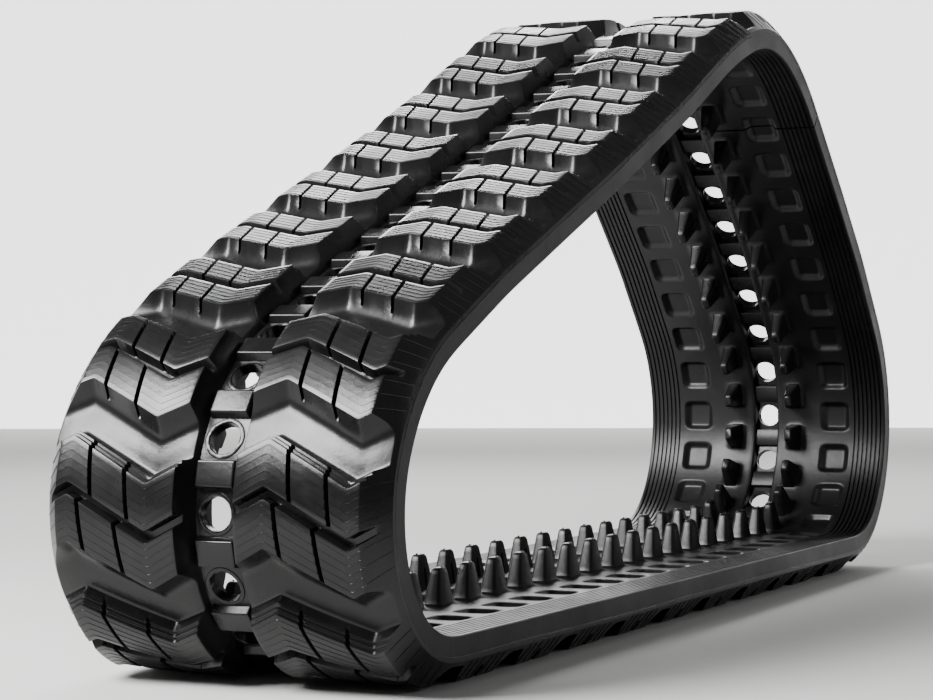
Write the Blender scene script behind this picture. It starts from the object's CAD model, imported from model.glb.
"""Rubber track: finished meshes, materials, stage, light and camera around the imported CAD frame.

Belt coordinates are (s along the belt, y across it, h outward from the cord line) in
millimetres. bend() lays them along the loop and gives metres in the row frame.
"""
import math

import bpy
import numpy as np
from mathutils import Matrix, Vector


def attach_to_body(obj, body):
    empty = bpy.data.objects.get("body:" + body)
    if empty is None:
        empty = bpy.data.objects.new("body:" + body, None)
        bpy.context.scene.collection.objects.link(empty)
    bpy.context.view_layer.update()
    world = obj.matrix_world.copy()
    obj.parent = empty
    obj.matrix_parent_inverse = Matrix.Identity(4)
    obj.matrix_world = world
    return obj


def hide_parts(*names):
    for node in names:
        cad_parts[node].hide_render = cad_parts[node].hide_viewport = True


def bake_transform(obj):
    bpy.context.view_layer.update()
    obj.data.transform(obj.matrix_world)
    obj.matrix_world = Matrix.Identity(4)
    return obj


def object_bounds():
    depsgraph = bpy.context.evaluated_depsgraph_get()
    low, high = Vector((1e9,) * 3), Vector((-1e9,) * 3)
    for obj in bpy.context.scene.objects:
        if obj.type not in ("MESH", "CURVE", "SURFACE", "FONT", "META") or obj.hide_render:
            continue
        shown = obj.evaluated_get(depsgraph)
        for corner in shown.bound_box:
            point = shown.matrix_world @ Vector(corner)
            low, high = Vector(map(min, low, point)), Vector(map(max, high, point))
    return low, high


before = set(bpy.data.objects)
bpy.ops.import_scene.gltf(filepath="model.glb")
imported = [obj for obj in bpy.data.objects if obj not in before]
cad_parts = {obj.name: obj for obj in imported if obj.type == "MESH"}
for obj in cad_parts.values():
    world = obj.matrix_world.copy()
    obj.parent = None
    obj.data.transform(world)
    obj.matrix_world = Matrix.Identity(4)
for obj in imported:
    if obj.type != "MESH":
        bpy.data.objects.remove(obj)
cad_box = [list(corner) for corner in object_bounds()]

# Metres in a millimetre.
MM = 0.001

# ---- Sizes in millimetres, from the CAD source unless a comment says otherwise ----------------
PITCH = 86.0
LINKS = 55
LOOP = PITCH * LINKS
# Half a millimetre inside the CAD's edge, which leaves room for the flash line.
HALF_WIDTH = 224.5
# Height of the fine mould ridges on the tread, which the CAD doesn't have.
RIDGE = 0.42
LANE_INNER = 20.5
TREAD_INNER = 25.6
INNER = -25.0
BASE = 12.0
TOP = 36.0
GROOVE_FLOOR = 20.0
HOLE = 20.0
ZIG_INNER, ZIG_OUTER, ZIG_SWING = 77.0, 182.0, 23.5
ZIG_SLOPE = 2 * ZIG_SWING / (ZIG_OUTER - ZIG_INNER)
FRONT_RADII = (155.5, 184.3, 267.0)
DRIVE_RADII = (921.0, 267.7, 475.0)
REAR_RADII = (260.8, 222.3, 202.8)
RETURN_HEADINGS = (24.712, 21.912, 21.812, 22.812, 23.412, 25.512)
REAR_HEADINGS = (-40.409, -41.909, -47.309)
GROUND_LINKS = 19
UNIT = 2 * PITCH
# Station of each hinge: the bodies before and after it.
HINGES = {
    25: ("belt_root", "return_1"), 27: ("return_1", "return_2"), 29: ("return_2", "return_3"),
    31: ("return_3", "return_4"), 33: ("return_4", "return_5"), 35: ("return_5", "return_6"),
    37: ("return_6", "drive_wrap"), 45: ("rear_1", "rear_2"), 47: ("rear_2", "rear_3"),
    49: ("rear_3", "belt_root"),
}
OPEN_STATION = 43
rng = np.random.default_rng(7)


# ---- The loop ---------------------------------------------------------------------------
def headings():
    """Heading in degrees at every millimetre of the loop, in running order."""
    parts = [np.full(int(GROUND_LINKS * PITCH), 180.0)]
    steps = np.arange(UNIT) + 0.5

    def arcs(radii, start):
        for radius in radii:
            turn = math.degrees(UNIT / radius)
            parts.append(start - turn * steps / UNIT)
            start -= turn

    arcs(FRONT_RADII, 180.0)
    for heading in RETURN_HEADINGS:
        parts.append(np.full(int(UNIT), heading))
    arcs(DRIVE_RADII, RETURN_HEADINGS[-1])
    for heading in REAR_HEADINGS:
        parts.append(np.full(int(UNIT), heading))
    arcs(REAR_RADII, sum(math.degrees(UNIT / r) for r in REAR_RADII) - 180.0)
    return np.concatenate(parts)


# Widths of the two running averages that ease the bends, and the extra length that they need
# at the seam of the loop.
EASING = (61, 41)
OVERLAP = 100


def smooth_path():
    """Cord line as arrays x, z, heading in radians at every millimetre, with eased bends."""
    raw = headings()
    n = len(raw)
    ramp = raw + 360.0 * np.arange(n) / n
    ramp = np.concatenate([ramp[-OVERLAP:], ramp, ramp[:OVERLAP]])
    for width in EASING:
        kernel = np.ones(width) / width
        ramp = np.convolve(ramp, kernel, mode="same")
    angle = np.radians(ramp[OVERLAP:-OVERLAP] - 360.0 * np.arange(n) / n)
    x = np.concatenate([[0.0], np.cumsum(np.cos(angle))])
    z = np.concatenate([[0.0], np.cumsum(np.sin(angle))])
    share = np.arange(n + 1) / n
    x -= share * x[-1]
    z -= share * z[-1]
    middle = int(GROUND_LINKS * PITCH / 2)
    z += TOP - z[middle]
    ends = np.concatenate([[angle[0]], (angle[1:] + angle[:-1]) / 2, [angle[-1]]])
    ends[0] = (angle[0] + angle[-1] + 2 * math.pi) / 2
    ends[-1] = ends[0] - 2 * math.pi
    # The lug tops touch the sides of the CAD box.
    low, high = (np.array(corner) * 1000.0 for corner in cad_box)
    outer = x - TOP * np.sin(ends)
    reach = (high[0] - low[0]) / 2 - TOP
    x = (x - (outer.min() + outer.max()) / 2) * (reach / ((outer.max() - outer.min()) / 2 - TOP))
    z = TOP + (z - TOP) * (high[2] - 2 * TOP) / (np.max(z) - TOP)
    return x + (low[0] + high[0]) / 2, z, ends


PATH_X, PATH_Z, PATH_A = smooth_path()


def path_at(s):
    """Cord line's x, z and heading at belt lengths s, which may run past either end of the loop."""
    turns = np.floor(s / LOOP)
    local = s - turns * LOOP
    at = np.arange(len(PATH_X))
    return (
        np.interp(local, at, PATH_X),
        np.interp(local, at, PATH_Z),
        np.interp(local, at, PATH_A) - 2 * math.pi * turns,
    )


def bend(points):
    """Belt coordinates to metres in the row frame, every point bent with the belt."""
    p = np.asarray(points, float)
    x, z, a = path_at(p[..., 0])
    h = p[..., 2]
    return np.stack([x - h * np.sin(a), p[..., 1], z + h * np.cos(a)], -1) * MM


def place(points, station):
    """Belt coordinates to metres for a rigid piece whose s counts from a station."""
    p = np.asarray(points, float)
    x, z, a = (float(v) for v in path_at(np.array(station * PITCH)))
    s, h = p[..., 0], p[..., 2]
    along = x + s * math.cos(a) - h * math.sin(a)
    up = z + s * math.sin(a) + h * math.cos(a)
    return np.stack([along, p[..., 1], up], -1) * MM


# ---- Mesh building ------------------------------------------------------------------------
class Build:
    """Vertices and faces gathered from many closed shells."""

    def __init__(self):
        self.verts, self.faces, self.count = [], [], 0

    def loft(self, rings, wrap=False, flip=False, caps=None):
        """A closed shell through rings of equal length, capped at both ends unless it wraps.

        caps lists each end's faces as ring positions, where one flat face isn't enough.
        """
        rings = np.asarray(rings, float)
        n, m = rings.shape[:2]
        base = self.count
        self.verts.append(rings.reshape(-1, 3))
        self.count += n * m
        i = np.arange(n if wrap else n - 1)[:, None]
        j = np.arange(m)[None, :]
        here, there = base + i * m, base + ((i + 1) % n) * m
        quads = np.stack(
            [here + j, there + j, there + (j + 1) % m, here + (j + 1) % m], -1
        ).reshape(-1, 4)
        if flip:
            quads = quads[:, ::-1]
        self.faces.extend(quads.tolist())
        if not wrap:
            for cap in caps or [list(range(m))]:
                first = [base + k for k in cap]
                last = [base + (n - 1) * m + k for k in reversed(cap)]
                self.faces.extend([first[::-1], last[::-1]] if flip else [first, last])

    def object(self, name, material, angle=31.0):
        """The gathered shells as one smooth-shaded object; edges over the angle stay sharp."""
        mesh = bpy.data.meshes.new(name)
        mesh.from_pydata(np.concatenate(self.verts).tolist(), [], self.faces)
        mesh.materials.append(material)
        mesh.shade_smooth()
        mesh.set_sharp_from_angle(angle=math.radians(angle))
        piece = bpy.data.objects.new(name, mesh)
        bpy.context.scene.collection.objects.link(piece)
        return piece


def smoothstep(t):
    t = np.clip(t, 0, 1)
    return t * t * (3 - 2 * t)


ZIG_CORNER = 2.5


def zig(y):
    """Swing of the zigzag along the belt at a distance y, with small radii at its two corners."""
    y = np.asarray(y, float)
    before = -ZIG_SWING + (ZIG_INNER - y) * ZIG_SLOPE
    between = -ZIG_SWING + (y - ZIG_INNER) * ZIG_SLOPE
    after = ZIG_SWING - (y - ZIG_OUTER) * ZIG_SLOPE
    plain = np.where(y < ZIG_INNER, before, np.where(y < ZIG_OUTER, between, after))
    for corner, sign in ((ZIG_INNER, 1), (ZIG_OUTER, -1)):
        near = np.clip(1 - np.abs(y - corner) / ZIG_CORNER, 0, 1)
        plain = plain + sign * ZIG_SLOPE * ZIG_CORNER / 2 * near ** 2
    return plain


# ---- Tread lanes ----------------------------------------------------------------------------
# Outline of a lug's long trailing slope, as (distance along the belt, height).
SLOPE = (
    (-78, 12), (-74, 12.6), (-70, 14.2), (-66, 17), (-62.5, 20.5), (-59, 25), (-56, 29.5), (-53.6, 33.3),
)
SLOPE_SHIFT = 52
# Half a row's length, and the distance from a lug's middle to the middle of each of its two rows.
ROW_EDGE = 23.0
ROW_OFFSET = 29.0
RIDGES = (-17.0, -8.5, 0.0, 8.5, 17.0)
# Outline of the stepped leading face, as (distance in from the row's edge, height).
STEPS = (
    (1.4, 36), (0.4, 35.75), (0, 35.2), (-0.4, 31.5), (-1, 31), (-3.6, 31), (-4.1, 30.5), (-4.5, 26.4),
    (-5.1, 26), (-7.6, 26), (-8.1, 25.4), (-9.2, 17), (-10.4, 13.6), (-12.5, 12.3), (-15, 12),
)
# The lugs' middles in pitches. An odd link count needs one lug with a single row.
LUGS = [(1.0, "double"), (3.0, "double"), (4.5, "single")] + [(float(k), "double") for k in range(6, 56, 2)]


def row_top(centre, row, trailing, leading):
    """Stations (u, height, ridge, row) over one row, from its trailing to its leading edge."""
    out = []
    if trailing:
        out += [(centre - ROW_EDGE + u + SLOPE_SHIFT, h, 0, row) for u, h in SLOPE]
        out += [(centre - ROW_EDGE - 0.3, 35.6, 0, row), (centre - ROW_EDGE + 1.2, 36, 0, row)]
    else:
        out += [(centre - ROW_EDGE - 2.4, 20, 0, row), (centre - ROW_EDGE - 1.5, 21.2, 0, row),
                (centre - ROW_EDGE, 35.1, 0, row), (centre - ROW_EDGE + 0.4, 35.7, 0, row),
                (centre - ROW_EDGE + 1.4, 36, 0, row)]
    for n, u in enumerate(RIDGES):
        out += [(centre + u - 0.6, 36, 0, row), (centre + u - 0.38, 36, 1 + n % 2, row),
                (centre + u + 0.38, 36, 1 + n % 2, row), (centre + u + 0.6, 36, 0, row)]
    if leading:
        out += [(centre + ROW_EDGE - u, h, 0, row) for u, h in STEPS]
    else:
        out += [(centre + ROW_EDGE - 1.4, 36, 0, row), (centre + ROW_EDGE - 0.4, 35.7, 0, row),
                (centre + ROW_EDGE, 35.1, 0, row), (centre + ROW_EDGE + 1.5, 21.2, 0, row),
                (centre + ROW_EDGE + 2.4, 20, 0, row)]
    return out


def lug_stations(kind):
    """Stations over a whole lug, counted from its middle."""
    if kind == "single":
        return row_top(0.0, 2, True, True)
    gap = [(0.0, GROOVE_FLOOR, 0, 0)]
    return row_top(-ROW_OFFSET, 1, True, False) + gap + row_top(ROW_OFFSET, 2, False, True)


def groove_lines(side, row):
    """Distances of the two cross grooves from the centre line."""
    if row == 0:
        return (109.0, 159.0) if side > 0 else (100.0, 150.0)
    if side > 0:
        return (115.0, 165.0) if row == 1 else (103.0, 153.0)
    return (93.0, 143.0) if row == 1 else (107.0, 157.0)


# A void longer than this between stations is filled with stations about this far apart.
LONGEST_GAP = 9
FILL_STEP = 6


def tread_stations(start, end):
    """Stations (s, height, ridge, row, distance from the row's centre) between two belt stations."""
    out = []
    for centre, kind in LUGS + [(c + LINKS, k) for c, k in LUGS]:
        for u, height, ridge, row in lug_stations(kind):
            s = centre * PITCH + u
            if start * PITCH - 1e-6 <= s <= end * PITCH + 1e-6:
                middle = 0.0 if kind == "single" else -ROW_OFFSET if row == 1 else ROW_OFFSET
                out.append((s, height, ridge, row, u - middle if row else 0.0))
    out.sort(key=lambda v: v[0])
    if out[0][0] > start * PITCH + 0.01:
        out.insert(0, (start * PITCH, BASE, 0, 0, 0.0))
    if out[-1][0] < end * PITCH - 0.01:
        out.append((end * PITCH, BASE, 0, 0, 0.0))
    full = [out[0]]
    for station in out[1:]:
        gap = station[0] - full[-1][0]
        if gap > LONGEST_GAP:
            count = int(gap / FILL_STEP)
            for k in range(1, count):
                full.append((full[-1][0] + gap / count, BASE, 0, 0, 0.0))
        full.append(station)
    return full


def inner_wall(h):
    """Distance of the lug's inner wall from the centre line, hollowed towards its foot."""
    return 39.0 - 11.0 * np.clip(1 - (h - 4) / 32.0, 0, 1.1) ** 1.5


def shoulder(h):
    """Distance of the sloping shoulder from the centre line."""
    return 223.0 - (h - 8.4) * (26.0 / 27.6)


GROOVE_SLANT = math.radians(8)
SIDE_RIDGE = 0.45


def tread_lane(build, start, end, side):
    """One lane of lugs and voids as a closed shell, down to the cord line."""
    rings = []
    for s, height, ridge, row, u in tread_stations(start, end):
        first, second = groove_lines(side, row)
        height -= (RIDGE + 0.03) * max(0.0, (height - GROOVE_FLOOR) / (TOP - GROOVE_FLOOR))
        slant = side * math.tan(GROOVE_SLANT) * u if row else 0.0
        section = [(TREAD_INNER, 3.0)]
        for t in (0.0, 0.2, 0.45, 0.7, 0.88):
            h = 3.0 + t * (height - 3.0)
            section.append((float(inner_wall(h)), h))
        section.append((float(inner_wall(height)) - 0.1, height - 0.9))
        section.append((float(inner_wall(height)) + 0.3, height - 0.25))
        section.append((float(inner_wall(height)) + 1.3, height))
        lift = RIDGE if ridge else 0.0
        for y in (44, 52, 62, 71, 74.5, 77, 79.5, 83):
            section.append((y, height + lift))
        for line in (first + slant, second + slant):
            floor = min(height, GROOVE_FLOOR)
            cut = 0.5 if height > GROOVE_FLOOR + 1 else 0.0
            section += [(line - 3.3, height + lift), (line - 2.7, height - cut), (line - 1.0, floor),
                        (line + 1.0, floor), (line + 2.7, height - cut), (line + 3.3, height + lift)]
            if line < (first + second) / 2 + slant:
                middle = (first + second) / 2 + slant
                section += [(middle - 9, height + lift), (middle + 9, height + lift)]
        edge = float(shoulder(height))
        for y in (176.5, 179.5, 182, 184.5, 188, 192):
            section.append((y, height + lift))
        section += [(edge - 1.4, height + lift), (edge - 0.1, height - 0.3), (edge + 0.8, height - 1.2)]
        lift = SIDE_RIDGE if ridge == 1 else 0.0
        for t in (0.12, 0.4, 0.7, 0.95):
            h = height - 1.2 + t * (8.4 - height + 1.2)
            section.append((float(shoulder(h)) + lift, h + lift))
        section += [(224.4, 6.3), (HALF_WIDTH, 4.0)]
        top = len(section)
        corners = [n for n, (y, _) in enumerate(section) if y in (ZIG_INNER, ZIG_OUTER)]
        section += [(HALF_WIDTH, 0.0), (ZIG_OUTER, 0.0), (ZIG_INNER, 0.0), (TREAD_INNER, 0.0)]
        # Each end is a zigzag, so it has one face for each of its three straight parts.
        caps = [
            list(range(corners[0] + 1)) + [top + 2, top + 3],
            list(range(corners[0], corners[1] + 1)) + [top + 1, top + 2],
            list(range(corners[1], top)) + [top, top + 1],
        ]
        section = np.array(section)
        along = s + side * zig(section[:, 0])
        rings.append(np.stack([along, side * section[:, 0], section[:, 1]], -1))
    build.loft(bend(rings), flip=side < 0, caps=caps)


# ---- Centre band ------------------------------------------------------------------------------
# Half length and half width of the web round a hole. Its ends are hidden under the bars.
PLATE_HALF = (36.0, 27.0)
PLATE_LOW, PLATE_HIGH = -8, 4.0


def hole_plate(build, station):
    """Web round one sprocket hole, with its raised, slightly uneven flash ring."""
    half_s, half_y = PLATE_HALF
    corner = math.atan2(half_y, half_s)
    marks = [corner, math.pi - corner, math.pi + corner, 2 * math.pi - corner, 2 * math.pi + corner]
    angles = []
    for a, b, n in zip(marks[:-1], marks[1:], (20, 12, 20, 12)):
        angles += list(np.linspace(a, b, n, endpoint=False))
    wobble = rng.normal(0, 0.28, len(angles))
    wobble = (wobble + np.roll(wobble, 1) + np.roll(wobble, -1)) / 2
    rings = []
    for angle, w in zip(angles, wobble):
        c, t = math.cos(angle), math.sin(angle)
        reach = min(half_s / max(abs(c), 1e-9), half_y / max(abs(t), 1e-9))
        section = [
            (HOLE, PLATE_LOW), (HOLE, 3.4), (HOLE - 0.5 + w * 0.6, 4.6), (HOLE + 0.4, 5.5 + w),
            (HOLE + 2.0, 5.7 + w * 0.6), (HOLE + 4.2, 5.2), (HOLE + 5.0, 4.3),
            (max((HOLE + 5 + reach) / 2, HOLE + 5.4), PLATE_HIGH), (reach, PLATE_HIGH), (reach, PLATE_LOW),
        ]
        rings.append([(station * PITCH + r * c, r * t, h) for r, h in section])
    build.loft(bend(rings), wrap=True)


def rounded_rectangle(half_a, half_b, radius, steps=3):
    """Outline of a rectangle with rounded corners, centred on the origin."""
    out = []
    for n, (sa, sb) in enumerate(((1, 1), (-1, 1), (-1, -1), (1, -1))):
        for k in range(steps + 1):
            angle = math.pi / 2 * (n + k / steps)
            out.append((sa * (half_a - radius) + radius * math.cos(angle),
                        sb * (half_b - radius) + radius * math.sin(angle)))
    return np.array(out)


def stack(build, station, levels, centre=0.0, flip=False):
    """A rigid lofted block. Each level is (half length, half width, corner radius, y shift, h)."""
    rings = []
    for half_s, half_y, radius, dy, h in levels:
        outline = rounded_rectangle(half_s, half_y, radius)
        rings.append([(centre + a, dy + b, h) for a, b in outline])
    build.loft(place(rings, station), flip=flip)


BAR_LEVELS = (
    (18.5, 25.6, 2, 0, 1.0), (18.5, 25.6, 2, 0, 3.8), (18.0, 25.5, 2, 0, 4.9), (15.6, 24.6, 1.6, 0, 12.2),
    (15.0, 24.2, 1.5, 0, 13.3), (14.3, 23.5, 1.4, 0, 13.85), (13.2, 22.4, 1.2, 0, 14.0),
)
# (height, half length, inner face, outer face, corner radius) from root to tip.
HORN_LEVELS = (
    (-20, 25, 42, 70, 5), (-25, 24.2, 42.6, 69.4, 5), (-28, 22.6, 43.8, 68.3, 4.5),
    (-34, 21.2, 44.8, 67.3, 4), (-50, 17.0, 47.0, 65.4, 3.5), (-64, 13.2, 48.9, 63.9, 3),
    (-69.5, 11.6, 49.7, 63.3, 2.8), (-72.2, 9.6, 51.0, 62.2, 2.4), (-73.6, 7.2, 52.4, 60.8, 2.0),
)
# (half length, half width, corner radius, distance from the centre line, height).
PIP_LEVELS = ((1.3, 1.3, 1.2, 57.0, -72.0), (1.3, 1.3, 1.2, 57.0, -74.6), (0.9, 0.9, 0.8, 57.0, -75.0))
RIB_LEVELS = ((3.2, 2.2, 1.6, 44.0, -24.0), (2.6, 1.8, 1.5, 45.5, -40.0), (1.6, 1.2, 1.0, 47.5, -56.0))
PIP_SHIFT = 6.0
# (distance across the belt, half length, lowest height) of the bridge between two horns.
BRIDGE = (
    (-47, 17, -20), (-38, 16.4, -19), (-27, 15.4, -17.4), (0, 15, -17),
    (27, 15.4, -17.4), (38, 16.4, -19), (47, 17, -20),
)
BRIDGE_TOP = -4


def bar(build, station):
    """Rubber bar between two holes, on the tread side."""
    stack(build, station, BAR_LEVELS, flip=True)


def mirrored(levels, side):
    """Levels with their distances from the centre line on the given side."""
    return [(a, b, radius, side * y, h) for a, b, radius, y, h in levels]


def horns(build, station):
    """The pair of guide horns and the bridge between them, on the roller side."""
    for side in (-1, 1):
        levels = [
            (half_s, (outer - inner) / 2, radius, side * ((inner + outer) / 2), h)
            for h, half_s, inner, outer, radius in HORN_LEVELS
        ]
        stack(build, station, levels)
        stack(build, station, mirrored(PIP_LEVELS, side), centre=PIP_SHIFT * side)
        stack(build, station, mirrored(RIB_LEVELS, side))
    rings = []
    for y, half_s, low in BRIDGE:
        rings.append([
            (-half_s, y, BRIDGE_TOP), (-half_s, y, low + 2.5), (-half_s + 0.8, y, low + 0.8),
            (-half_s + 2.5, y, low), (half_s - 2.5, y, low), (half_s - 0.8, y, low + 0.8),
            (half_s, y, low + 2.5), (half_s, y, BRIDGE_TOP),
        ])
    build.loft(place(rings, station))


# ---- Roller side lanes ---------------------------------------------------------------------------
# Inner edge, outer edge, half length, depth and corner radius of the recess between two cores.
POCKET = (103.0, 160.0, 31.0, 7.8, 15.0)
RIB_START, RIB_SPACING, RIB_COUNT = 167.0, 8.0, 7
# Where the mesh is sampled: across a lane, and along one pitch. Closest where the recess curves.
CROSS = (
    27, 31, 36, 40, 43, 46, 50, 56, 62, 66, 70, 74, 80, 90, 98, 101, 102.7, 104, 106, 108.5, 111,
    113.5, 116, 119, 123, 131.5, 140, 144, 147, 149.5, 152, 154.5, 157, 159, 160.3, 162, 164.5,
)
ALONG = (
    -43, -37, -33, -31.2, -29.5, -27.5, -25, -22.5, -20, -17.5, -14, -7,
    0, 7, 14, 17.5, 20, 22.5, 25, 27.5, 29.5, 31.2, 33, 37,
)


def roller_side(s, y):
    """Height of the roller side at belt coordinates."""
    inner, outer, half, depth, radius = POCKET
    local = (s / PITCH + 0.5) % 1.0 * PITCH - PITCH / 2
    qs = np.abs(local) - (half - radius)
    qy = np.abs(y - (inner + outer) / 2) - ((outer - inner) / 2 - radius)
    distance = np.hypot(np.maximum(qs, 0), np.maximum(qy, 0)) + np.minimum(np.maximum(qs, qy), 0) - radius
    height = INNER + depth * smoothstep(-distance / 12.0)
    at_bar = np.abs(np.abs(local) - PITCH / 2)
    foot = np.hypot(np.maximum(at_bar - 20, 0), np.maximum(np.abs(y - 56) - 10, 0))
    return height - 4.0 * smoothstep(1 - foot / 8.0)


def carcass_lane(build, start, end, side):
    """One lane of the roller side as a closed shell, up to the cord line."""
    first, last = int(math.floor(start)) - 1, int(math.ceil(end)) + 1
    stations = sorted({round(n * PITCH + a, 3) for n in range(first, last + 1) for a in ALONG})
    stations = [s for s in stations if start * PITCH + 1 < s < end * PITCH - 1]
    stations = [start * PITCH] + stations + [end * PITCH]
    rings = []
    for s in stations:
        section = [(LANE_INNER, 0.0), (LANE_INNER, -18.0), (21.3, -22.0), (23.6, -24.3)]
        section += [(y, float(roller_side(np.array(s), np.array(float(y))))) for y in CROSS]
        for n in range(RIB_COUNT):
            y = RIB_START + n * RIB_SPACING
            section += [(y, INNER), (y + 0.6, INNER + 2.2), (y + 1.3, INNER + 3), (y + 2.2, INNER + 3),
                        (y + 2.9, INNER + 2.2), (y + 3.5, INNER)]
        section += [(220.6, INNER), (223, INNER + 0.3), (HALF_WIDTH, INNER + 1.6),
                    (HALF_WIDTH, INNER + 3.4), (HALF_WIDTH, -12), (HALF_WIDTH, 0.0)]
        rings.append([(s, side * y, h) for y, h in section])
    build.loft(bend(rings), flip=side > 0)


def flash_line(build, start, end, side):
    """Thin uneven ridge where the two mould halves met, on the side wall."""
    stations = np.arange(start * PITCH, end * PITCH + 0.1, PITCH / 20)
    proud = np.clip(rng.normal(0.28, 0.14, len(stations)), 0.06, 0.48)
    proud[0] = proud[-1] = 0.2
    sway = np.cumsum(rng.normal(0, 0.12, len(stations)))
    sway -= np.linspace(sway[0], sway[-1], len(stations))
    rings = []
    for s, p, w in zip(stations, proud, sway):
        rings.append([(s, side * (HALF_WIDTH - 0.6), w - 1.0), (s, side * (HALF_WIDTH + p), w - 0.15),
                      (s, side * (HALF_WIDTH + p), w + 0.2), (s, side * (HALF_WIDTH - 0.6), w + 1.0)])
    build.loft(bend(rings), flip=side > 0)


# ---- Materials ------------------------------------------------------------------------------------
BLOOM_COLOUR = (0.07, 0.068, 0.066)
GRAIN_HEIGHT, RIPPLE_HEIGHT = 0.0003, 0.0006
RIPPLE_STRENGTH = 0.35
GLOSS = 0.33


def rubber(name, base, low, high, bump, dust):
    """Moulded black rubber: mottled gloss, fine grain and a trace of pale bloom.

    Roughness runs from low to high, bump is the grain's strength and dust the most bloom.
    """
    material = bpy.data.materials.new(name)
    material.use_nodes = True
    tree = material.node_tree
    tree.nodes.clear()

    def add(kind, **values):
        node = tree.nodes.new(kind)
        for key, value in values.items():
            setattr(node, key, value)
        return node

    def link(a, out, b, socket):
        tree.links.new(a.outputs[out], b.inputs[socket])

    output = add("ShaderNodeOutputMaterial")
    shader = add("ShaderNodeBsdfPrincipled")
    coords = add("ShaderNodeTexCoord")
    link(shader, "BSDF", output, "Surface")

    def noise(scale, detail, rough=0.55):
        node = add("ShaderNodeTexNoise")
        node.inputs["Scale"].default_value = scale
        node.inputs["Detail"].default_value = detail
        node.inputs["Roughness"].default_value = rough
        link(coords, "Object", node, "Vector")
        return node

    def spread(source, socket, from_low, from_high, to_low, to_high):
        node = add("ShaderNodeMapRange")
        node.inputs["From Min"].default_value = from_low
        node.inputs["From Max"].default_value = from_high
        node.inputs["To Min"].default_value = to_low
        node.inputs["To Max"].default_value = to_high
        link(source, socket, node, "Value")
        return node

    patches = noise(9, 5)
    link(spread(patches, "Fac", 0.32, 0.68, low, high), "Result", shader, "Roughness")
    bloom = spread(noise(22, 8, 0.65), "Fac", 0.55, 0.78, 0.0, dust)
    mix = add("ShaderNodeMix", data_type="RGBA")
    mix.inputs["A"].default_value = (*base, 1)
    mix.inputs["B"].default_value = (*BLOOM_COLOUR, 1)
    link(bloom, "Result", mix, "Factor")
    link(mix, "Result", shader, "Base Color")
    grain = noise(1400, 3)
    ripple = noise(130, 4)
    first = add("ShaderNodeBump")
    first.inputs["Strength"].default_value = bump
    first.inputs["Distance"].default_value = GRAIN_HEIGHT
    link(grain, "Fac", first, "Height")
    second = add("ShaderNodeBump")
    second.inputs["Strength"].default_value = RIPPLE_STRENGTH
    second.inputs["Distance"].default_value = RIPPLE_HEIGHT
    link(ripple, "Fac", second, "Height")
    link(first, "Normal", second, "Normal")
    link(second, "Normal", shader, "Normal")
    shader.inputs["Specular IOR Level"].default_value = GLOSS
    return material


TREAD = rubber("tread_rubber", (0.0045, 0.0045, 0.0048), 0.22, 0.36, 0.18, 0.10)
CARCASS = rubber("carcass_rubber", (0.0055, 0.0055, 0.0058), 0.30, 0.46, 0.35, 0.14)
BAND = rubber("band_rubber", (0.0045, 0.0045, 0.0048), 0.18, 0.32, 0.18, 0.10)
HORN = rubber("horn_rubber", (0.0045, 0.0045, 0.0048), 0.26, 0.42, 0.40, 0.12)
CORD = rubber("cord_ply", (0.20, 0.16, 0.09), 0.35, 0.55, 0.30, 0.20)

# ---- The belt --------------------------------------------------------------------------------------
# A span is (name, first station, last station, body or hinge station). A hinge lies in the middle
# of its span and bends it; a body's span is rigid.
BODY_SPANS = [
    ("front_wrap", GROUND_LINKS, 24, "belt_root"), ("drive_wrap", 38, OPEN_STATION, "drive_wrap"),
    ("rear_head", OPEN_STATION, 44, "rear_1"), ("rear_wrap", 50, LINKS, "belt_root"),
    ("ground", 0, GROUND_LINKS, "belt_root"),
]
HINGE_SPANS = [("hinge_" + str(h), h - 1, h + 1, h) for h in HINGES]
# Hinge stations where the return run starts, where it meets drive_wrap, and where the rear run ends.
FIRST_HINGE, LAST_RETURN, LAST_HINGE = 25, 37, 49
# The two sides of the opened pivot each stop this many pitches short of it.
OPEN_SHY = 1.6 / PITCH


def body_at(station):
    """The CAD body that carries a half-integer bar station."""
    if station < FIRST_HINGE or station > LAST_HINGE:
        return "belt_root"
    if station < LAST_RETURN:
        return "return_" + str(int((station - FIRST_HINGE) // 2) + 1)
    if station < OPEN_STATION:
        return "drive_wrap"
    return "rear_" + str(int((station - OPEN_STATION) // 2) + 1)


def stretch_of(station):
    """The CAD stretch, named in its nodes, that a half-integer bar station lies in."""
    if station < GROUND_LINKS:
        return "ground"
    if station < FIRST_HINGE:
        return "front_wrap"
    if station > LAST_HINGE:
        return "rear_wrap"
    return body_at(station)


def attach(piece, carrier):
    """A piece rides its body, or bends between the two bodies of its hinge."""
    if carrier in HINGES:
        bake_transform(piece)
    else:
        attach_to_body(piece, carrier)


for label, start, end, carrier in BODY_SPANS + HINGE_SPANS:
    low = start + (OPEN_SHY if start == OPEN_STATION else 0)
    high = end - (OPEN_SHY if end == OPEN_STATION else 0)
    for side, word in ((1, "left"), (-1, "right")):
        shell = Build()
        tread_lane(shell, low, high, side)
        tread = shell.object("tread_" + label + "_" + word, TREAD)
        attach(tread, carrier)
        shell = Build()
        carcass_lane(shell, low, high, side)
        flash_line(shell, low, high, side)
        carcass = shell.object("carcass_" + label + "_" + word, CARCASS)
        attach(carcass, carrier)

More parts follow.
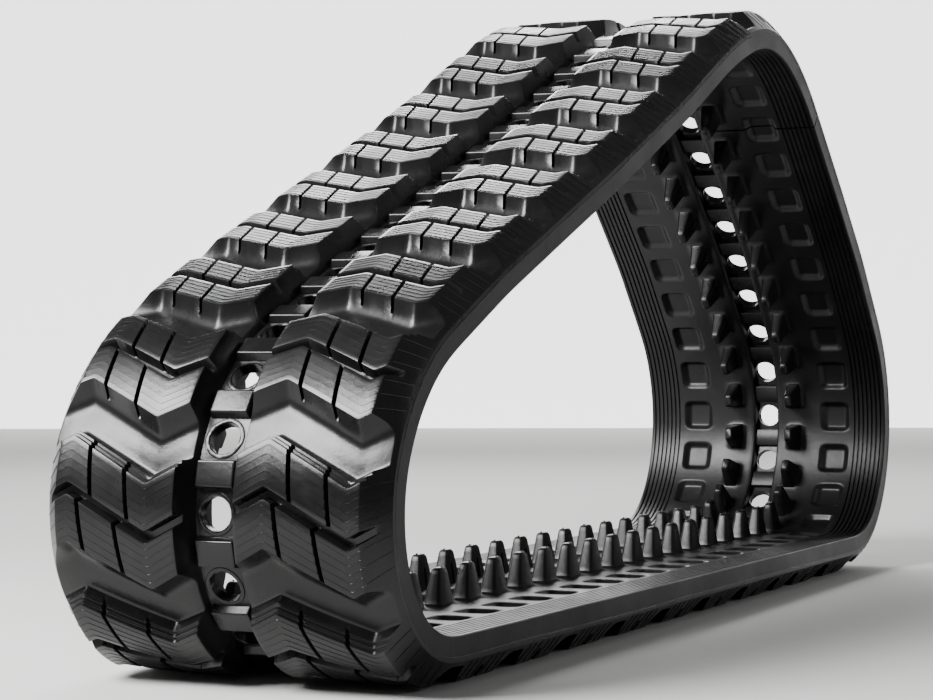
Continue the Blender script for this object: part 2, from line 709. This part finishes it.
STRETCHES = ["ground", "front_wrap", "rear_wrap", "drive_wrap"]
STRETCHES += ["return_" + str(n) for n in range(1, len(RETURN_HEADINGS) + 1)]
STRETCHES += ["rear_" + str(n) for n in range(1, len(REAR_HEADINGS) + 1)]
for unit_name in STRETCHES:
    stations = [k + 0.5 for k in range(LINKS) if stretch_of(k + 0.5) == unit_name]
    bars, guides = Build(), Build()
    for station in stations:
        bar(bars, station)
        horns(guides, station)
    body = body_at(stations[0])
    band = bars.object("bars_" + unit_name, BAND)
    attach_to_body(band, body)
    guide = guides.object("horns_" + unit_name, HORN)
    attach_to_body(guide, body)
    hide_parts("cores_" + unit_name)
    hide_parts("tread_" + unit_name)

for label, start, end, carrier in BODY_SPANS + HINGE_SPANS:
    plates = Build()
    # A span has the holes from its first station up to its last, which is the next span's. The
    # opened pivot's hole is the one exception: it belongs to drive_wrap, which ends there.
    for station in range(start, end + (end == OPEN_STATION)):
        if station == OPEN_STATION and start == OPEN_STATION:
            continue
        hole_plate(plates, station)
    if plates.count:
        plate = plates.object("hole_rims_" + label, BAND)
        attach(plate, carrier)

for node_name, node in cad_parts.items():
    if node_name.startswith("carcass_"):
        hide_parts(node_name)
    surface = CORD if node_name.startswith("cords_") else CARCASS
    node.data.materials.clear()
    node.data.materials.append(surface)

# ---- Stage, light and camera ----------------------------------------------------------------------
FLOOR_HALF, FLOOR_DROP = 12, 0.0005
BACKDROP_HALF, BACKDROP_HEIGHT, BACKDROP_FOOT = 6, 6, -0.01
BACKDROP_PLACE = (7.2, 3.4, 0)
BACKDROP_GLOW = 2.4
# The camera looks along this direction, and the backdrop stands square to it.
VIEW_YAW = 64.98


def stage_sheet(name, corners, colour):
    """One flat matt sheet around the object. Returns it with its shader's inputs."""
    material = bpy.data.materials.new(name)
    material.use_nodes = True
    inputs = material.node_tree.nodes["Principled BSDF"].inputs
    inputs["Base Color"].default_value = (*colour, 1)
    inputs["Roughness"].default_value = 0.9
    mesh = bpy.data.meshes.new(name)
    mesh.from_pydata(corners, [], [(0, 1, 2, 3)])
    mesh.materials.append(material)
    sheet = bpy.data.objects.new(name, mesh)
    bpy.context.scene.collection.objects.link(sheet)
    return sheet, inputs


half = FLOOR_HALF
floor, _ = stage_sheet(
    "floor", [(-half, -half, 0), (half, -half, 0), (half, half, 0), (-half, half, 0)], (0.6, 0.6, 0.59)
)
floor.location.z = -FLOOR_DROP

half, foot, height = BACKDROP_HALF, BACKDROP_FOOT, BACKDROP_HEIGHT
backdrop, glow = stage_sheet(
    "backdrop", [(-half, 0, foot), (half, 0, foot), (half, 0, height), (-half, 0, height)], (0.86, 0.86, 0.85)
)
glow["Emission Color"].default_value = (1, 1, 1, 1)
glow["Emission Strength"].default_value = BACKDROP_GLOW
backdrop.location = BACKDROP_PLACE
backdrop.rotation_euler.z = math.radians(-VIEW_YAW)

world = bpy.data.worlds.new("soft_white")
world.use_nodes = True
world.node_tree.nodes["Background"].inputs["Color"].default_value = (1, 1, 1, 1)
world.node_tree.nodes["Background"].inputs["Strength"].default_value = 0.13
bpy.context.scene.world = world


def area_light(name, where, target, size, power):
    """A soft rectangular light at a place, aimed at a target; size in metres, power in watts."""
    data = bpy.data.lights.new(name, "AREA")
    data.shape = "RECTANGLE"
    data.size, data.size_y = size
    data.energy = power
    lamp = bpy.data.objects.new(name, data)
    bpy.context.scene.collection.objects.link(lamp)
    lamp.location = where
    lamp.rotation_euler = (Vector(target) - Vector(where)).to_track_quat("-Z", "Y").to_euler()


area_light("left_top", (-2.5, 1.5, 2.4), (-0.6, 0, 0.5), (1.8, 1.4), 370)
area_light("back_top", (3.4, 1.8, 2.9), (0, 0, 0.6), (3.0, 1.0), 150)
area_light("side", (0.8, -3.6, 2.6), (0.2, 0, 0.4), (2.4, 0.8), 16)

CAMERA_PLACE = (-3.4405, -1.4494, 0.3985)
# In radians from level.
CAMERA_TILT, CAMERA_ROLL = -0.0028, -0.0013

camera_data = bpy.data.cameras.new("camera")
camera_data.sensor_width = 36
camera_data.lens = 96.3
camera = bpy.data.objects.new("camera", camera_data)
bpy.context.scene.collection.objects.link(camera)
camera.matrix_world = (
    Matrix.Translation(CAMERA_PLACE)
    @ Matrix.Rotation(-math.radians(VIEW_YAW), 4, "Z")
    @ Matrix.Rotation(math.pi / 2 + CAMERA_TILT, 4, "X")
    @ Matrix.Rotation(CAMERA_ROLL, 4, "Z")
)
bpy.context.scene.camera = camera
